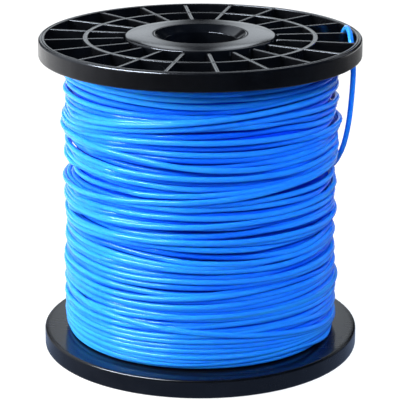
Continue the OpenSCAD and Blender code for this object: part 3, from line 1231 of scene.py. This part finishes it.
@dataclass(frozen=True)
class Lamp:
    """A soft rectangular lamp that faces the spool.

    Attributes:
        name: Name of the lamp.
        azimuth: Direction from the spool to the lamp.
        elevation: Its height angle.
        distance: Distance from the middle of the spool, in metres.
        size: Width and height, in metres.
        radiance: Brightness of its face, where 1 is white.
        colour: Colour of its light.
        sheen: Whether it only draws highlights. The other lamps draw none.
        roll: Turn about the line to the spool.
    """

    name: str
    azimuth: float
    elevation: float
    distance: float
    size: tuple[float, float]
    radiance: float
    colour: Colour
    sheen: bool = False
    roll: float = 0.0

    def build(self, aim: Vector) -> None:
        """Adds the lamp. Its power is pi times its area times its radiance."""
        a, e = math.radians(self.azimuth), math.radians(self.elevation)
        towards = Vector((math.cos(a) * math.cos(e), math.sin(a) * math.cos(e), math.sin(e)))
        data = bpy.data.lights.new(self.name, "AREA")
        data.shape = "RECTANGLE"
        data.size, data.size_y = self.size
        data.energy = math.pi * self.size[0] * self.size[1] * self.radiance
        data.color = self.colour
        lamp = bpy.data.objects.new(self.name, data)
        lamp.location = aim + towards * self.distance
        roll = Quaternion((0.0, 0.0, 1.0), math.radians(self.roll))
        lamp.rotation_euler = (towards.to_track_quat("Z", "Y") @ roll).to_euler()
        lamp.visible_glossy = self.sheen
        lamp.visible_diffuse = not self.sheen
        bpy.context.scene.collection.objects.link(lamp)


@dataclass
class Studio:
    """Floor, surroundings, lamps and camera.

    Attributes:
        lamps: The lamps.
        lens: Focal length of the camera, for a sensor 36 mm wide.
        camera_mm: Place of the camera.
        pitch: How far it looks down.
        floor_z: Height of the floor, just under the spool.
        floor_half: Half of the floor's width.
        white: A shader's white.
    """

    lamps: tuple[Lamp, ...] = (
        Lamp("key", 188.0, 18.0, 1.5, (0.9, 1.0), 26.0, (1.0, 0.92, 0.72)),
        Lamp("front_top", 289.0, 42.0, 1.6, (0.9, 0.6), 12.6, (0.78, 0.98, 1.0)),
        Lamp("right_fill", -15.0, 30.0, 1.8, (0.8, 1.0), 3.6, (0.25, 0.42, 1.0)),
        Lamp("sheen", 206.0, 47.0, 1.5, (1.05, 0.34), 68.0, (0.9, 0.96, 1.0), True, 28.0),
    )
    lens: float = 170.1
    camera_mm: Numbers = (-0.15, -914.2, 361.35)
    pitch: float = 17.40
    floor_z: float = -0.2
    floor_half: float = 6000.0
    white: Numbers = (1.0, 1.0, 1.0, 1.0)

    def build_camera(self) -> None:
        """Adds the camera, level from side to side and pitched down at the spool."""
        data = bpy.data.cameras.new("camera")
        data.lens = self.lens
        data.sensor_width = 36.0
        data.clip_start = 0.01
        camera = bpy.data.objects.new("camera", data)
        camera.location = Vector(self.camera_mm) * MM
        camera.rotation_euler = (math.radians(90 - self.pitch), 0, 0)
        bpy.context.scene.collection.objects.link(camera)
        bpy.context.scene.camera = camera

    def build_floor(self) -> None:
        """Adds the pale floor, which is near white to the camera.

        Gloss sees it bright on the left, dark in front, bluish close to the spool and brightest far
        behind it.
        """
        h = self.floor_half
        points = np.array([(x, y, self.floor_z) for x, y in ((-h, -h), (h, -h), (h, h), (-h, h))])
        floor = make_piece("floor", points, [[0, 1, 2, 3]], smooth=False)
        made = bpy.data.materials.new("floor_white")
        made.use_nodes = True
        g, path = plain_graph(made.node_tree)
        seen, mirrored = path["Is Camera Ray"], path["Is Glossy Ray"]
        place = g.node("ShaderNodeTexCoord").outputs["Object"]
        x, y, _ = g.xyz(g.node("ShaderNodeVectorMath", {"operation": "NORMALIZE"}, in0=place).outputs[0])
        away = g.node("ShaderNodeVectorMath", {"operation": "LENGTH"}, in0=place).outputs["Value"]
        near = g.ramp(away, 0.1, 0.3, 1.0, 0.0)
        far = g.times(g.ramp(away, 0.7, 1.3), g.ramp(y, 0.3, 0.6))
        gloss = g.times(g.ramp(x, -0.6, 1.0, 1.1, 0.16), g.ramp(y, -0.95, 0.75, 0.05, 1.0))
        gloss = g.largest(gloss, g.times(near, 0.45), g.times(far, 1.8))
        glow = g.plus(g.times(seen, 0.88), g.times(mirrored, gloss))
        tint = g.mix(g.times(near, mirrored), self.white, (0.5, 0.65, 1.0, 1.0))
        pale = g.times(g.less(0.4, g.times(seen, 0.15)), g.less(1.0, mirrored))
        shade = g.node("ShaderNodeCombineColor", in0=pale, in1=pale, in2=pale).outputs[0]
        lit = g.node("ShaderNodeBsdfDiffuse", Color=shade).outputs[0]
        own = g.node("ShaderNodeEmission", Color=tint, Strength=glow).outputs[0]
        both = g.node("ShaderNodeAddShader", in0=lit, in1=own).outputs[0]
        g.node("ShaderNodeOutputMaterial", Surface=both)
        put_material(floor, made)

    def mirrored_walls(self, g: Graph, x: Socket, y: Socket, z: Socket) -> Socket:
        """Brightness of the surroundings in mirror images.

        Behind the spool stand four bright patches: low at the sides, a wider one above it, a pair
        close to the middle, and a high one on the left. There is a pale wall on the left and a patch
        on the right.

        Args:
            g: The world's graph.
            x: How far to the right a direction points.
            y: How far to the back.
            z: How far up.

        Returns:
            The brightness.
        """
        aside = g.math("ABSOLUTE", x)
        band = g.times(g.window(z, 0.125, 0.175, 0.25, 0.31), g.ramp(aside, 0.002, 0.038, 0.04, 0.85),
                       g.window(x, -0.34, -0.16, 0.14, 0.24), g.ramp(y, 0.2, 0.8, 0.0, 1.6))
        low = g.times(g.window(z, -0.02, 0.02, 0.13, 0.17), g.ramp(aside, 0.004, 0.034, 0.02, 1.0),
                      g.ramp(aside, 0.17, 0.23, 1.0, 0.0), g.ramp(y, 0.2, 0.8, 0.0, 1.0))
        mid = g.times(g.window(z, 0.29, 0.32, 0.40, 0.46), g.window(aside, 0.012, 0.035, 0.068, 0.08),
                      g.ramp(y, 0.2, 0.8, 0.0, 1.8))
        upper = g.times(g.window(z, 0.42, 0.5, 0.75, 0.92), g.ramp(x, 0.2, 0.45, 1.0, 0.0),
                        g.ramp(aside, 0.0, 0.05, 0.3, 1.0), g.ramp(y, 0.1, 0.4, 0.0, 1.1))
        right = g.times(g.window(z, 0.30, 0.36, 0.44, 0.52), g.ramp(x, 0.52, 0.62),
                        g.ramp(y, 0.2, 0.5, 0.0, 1.6))
        return g.largest(band, low, mid, upper, g.ramp(x, -0.9, -0.3, 0.8, 0.01), right)

    def build_world(self) -> None:
        """Sets the surroundings: white to the camera, walls to gloss, and soft light for the rest.

        The soft light is bluish, and brighter from above and from behind.
        """
        world = bpy.data.worlds.new("studio")
        world.use_nodes = True
        bpy.context.scene.world = world
        g, path = plain_graph(world.node_tree)
        x, y, z = g.xyz(g.node("ShaderNodeTexCoord").outputs["Generated"])
        behind = g.ramp(y, 0.0, 0.9)
        lit = path["Is Diffuse Ray"]
        white = g.largest(path["Is Camera Ray"], path["Is Transmission Ray"])
        soft = g.times(lit, g.plus(g.ramp(z, -0.1, 0.8, 0.06, 0.25), g.times(behind, 0.42)))
        walls = g.times(path["Is Glossy Ray"], self.mirrored_walls(g, x, y, z))
        tint = g.mix(behind, (0.3, 0.5, 1.0, 1.0), (0.65, 0.9, 1.0, 1.0))
        tint = g.mix(lit, (0.88, 0.94, 1.0, 1.0), tint)
        tint = g.mix(white, tint, self.white)
        glow = g.largest(white, walls, soft)
        back = g.node("ShaderNodeBackground", Color=tint, Strength=glow).outputs[0]
        g.node("ShaderNodeOutputWorld", Surface=back)

    def build_lamps(self) -> None:
        """Adds the lamps, aimed at the middle of the spool."""
        for lamp in self.lamps:
            lamp.build(Vector((0, 0, 80 * MM)))


BLACK = (0.0018, 0.0020, 0.0030)
CORE_BLACK = BlackPlastic("core_black", (0.009, 0.0095, 0.011), 0.42)
FLANGE_BLACK = BlackPlastic("flange_black", BLACK, 0.20, spread=0.08, grain=0.12, flow=0.6, specular=0.62)
BASE_BLACK = BlackPlastic("base_black", BLACK, 0.22, spread=0.08, grain=0.12, flow=0.6, specular=0.4)
CAP_BLACK = BlackPlastic("cap_black", (0.0022, 0.0026, 0.0040), 0.12, spread=0.08, grain=0.08, flow=0.5,
                         rings=0.1, specular=0.46)
LINE_BLUE = BlueLine("line_blue")
# Painted shade: a darker copy of the line's blue for the closed layers and the hidden turns, which lie in
# shade under the outer turns.
SHADED_LINE_BLUE = BlueLine("line_blue_painted_shade", (0.003, 0.06, 0.72), (0.002, 0.05, 0.64))


def main() -> None:
    """Builds the parts in order and reports each piece."""
    logging.basicConfig(level=logging.INFO, format="%(message)s")
    bpy.context.scene.view_settings.view_transform = "Standard"
    studio = Studio()
    studio.build_camera()
    winding = Winding()
    winding.build_pack()
    winding.build_cord()
    winding.dress(LINE_BLUE, SHADED_LINE_BLUE)
    skin = moulded_skin_group()
    Core().dress(CORE_BLACK.material(skin))
    cap_black = CAP_BLACK.material(skin)
    flange, cap = "flange_plastic", "cap_plastic"
    ends = (
        (Flange("flange_top", "top_flange", flange, True), FLANGE_BLACK.material(skin)),
        (Flange("flange_bottom", "bottom_flange", flange, False, turn=108.0), BASE_BLACK.material(skin)),
        (HubCap("cap_top", "top_hub_cap", cap, True, rise=0.4, dome=0.7), cap_black),
        (HubCap("cap_bottom", "bottom_hub_cap", cap, False), cap_black),
    )
    for part, plastic in ends:
        part.build()
        part.dress(plastic)
    studio.build_floor()
    studio.build_world()
    studio.build_lamps()
    for piece in (*winding.pieces, *(part.piece for part, _ in ends)):
        log.info("%s: %d faces", piece.name, len(piece.data.polygons))


if __name__ == "__main__":
    main()
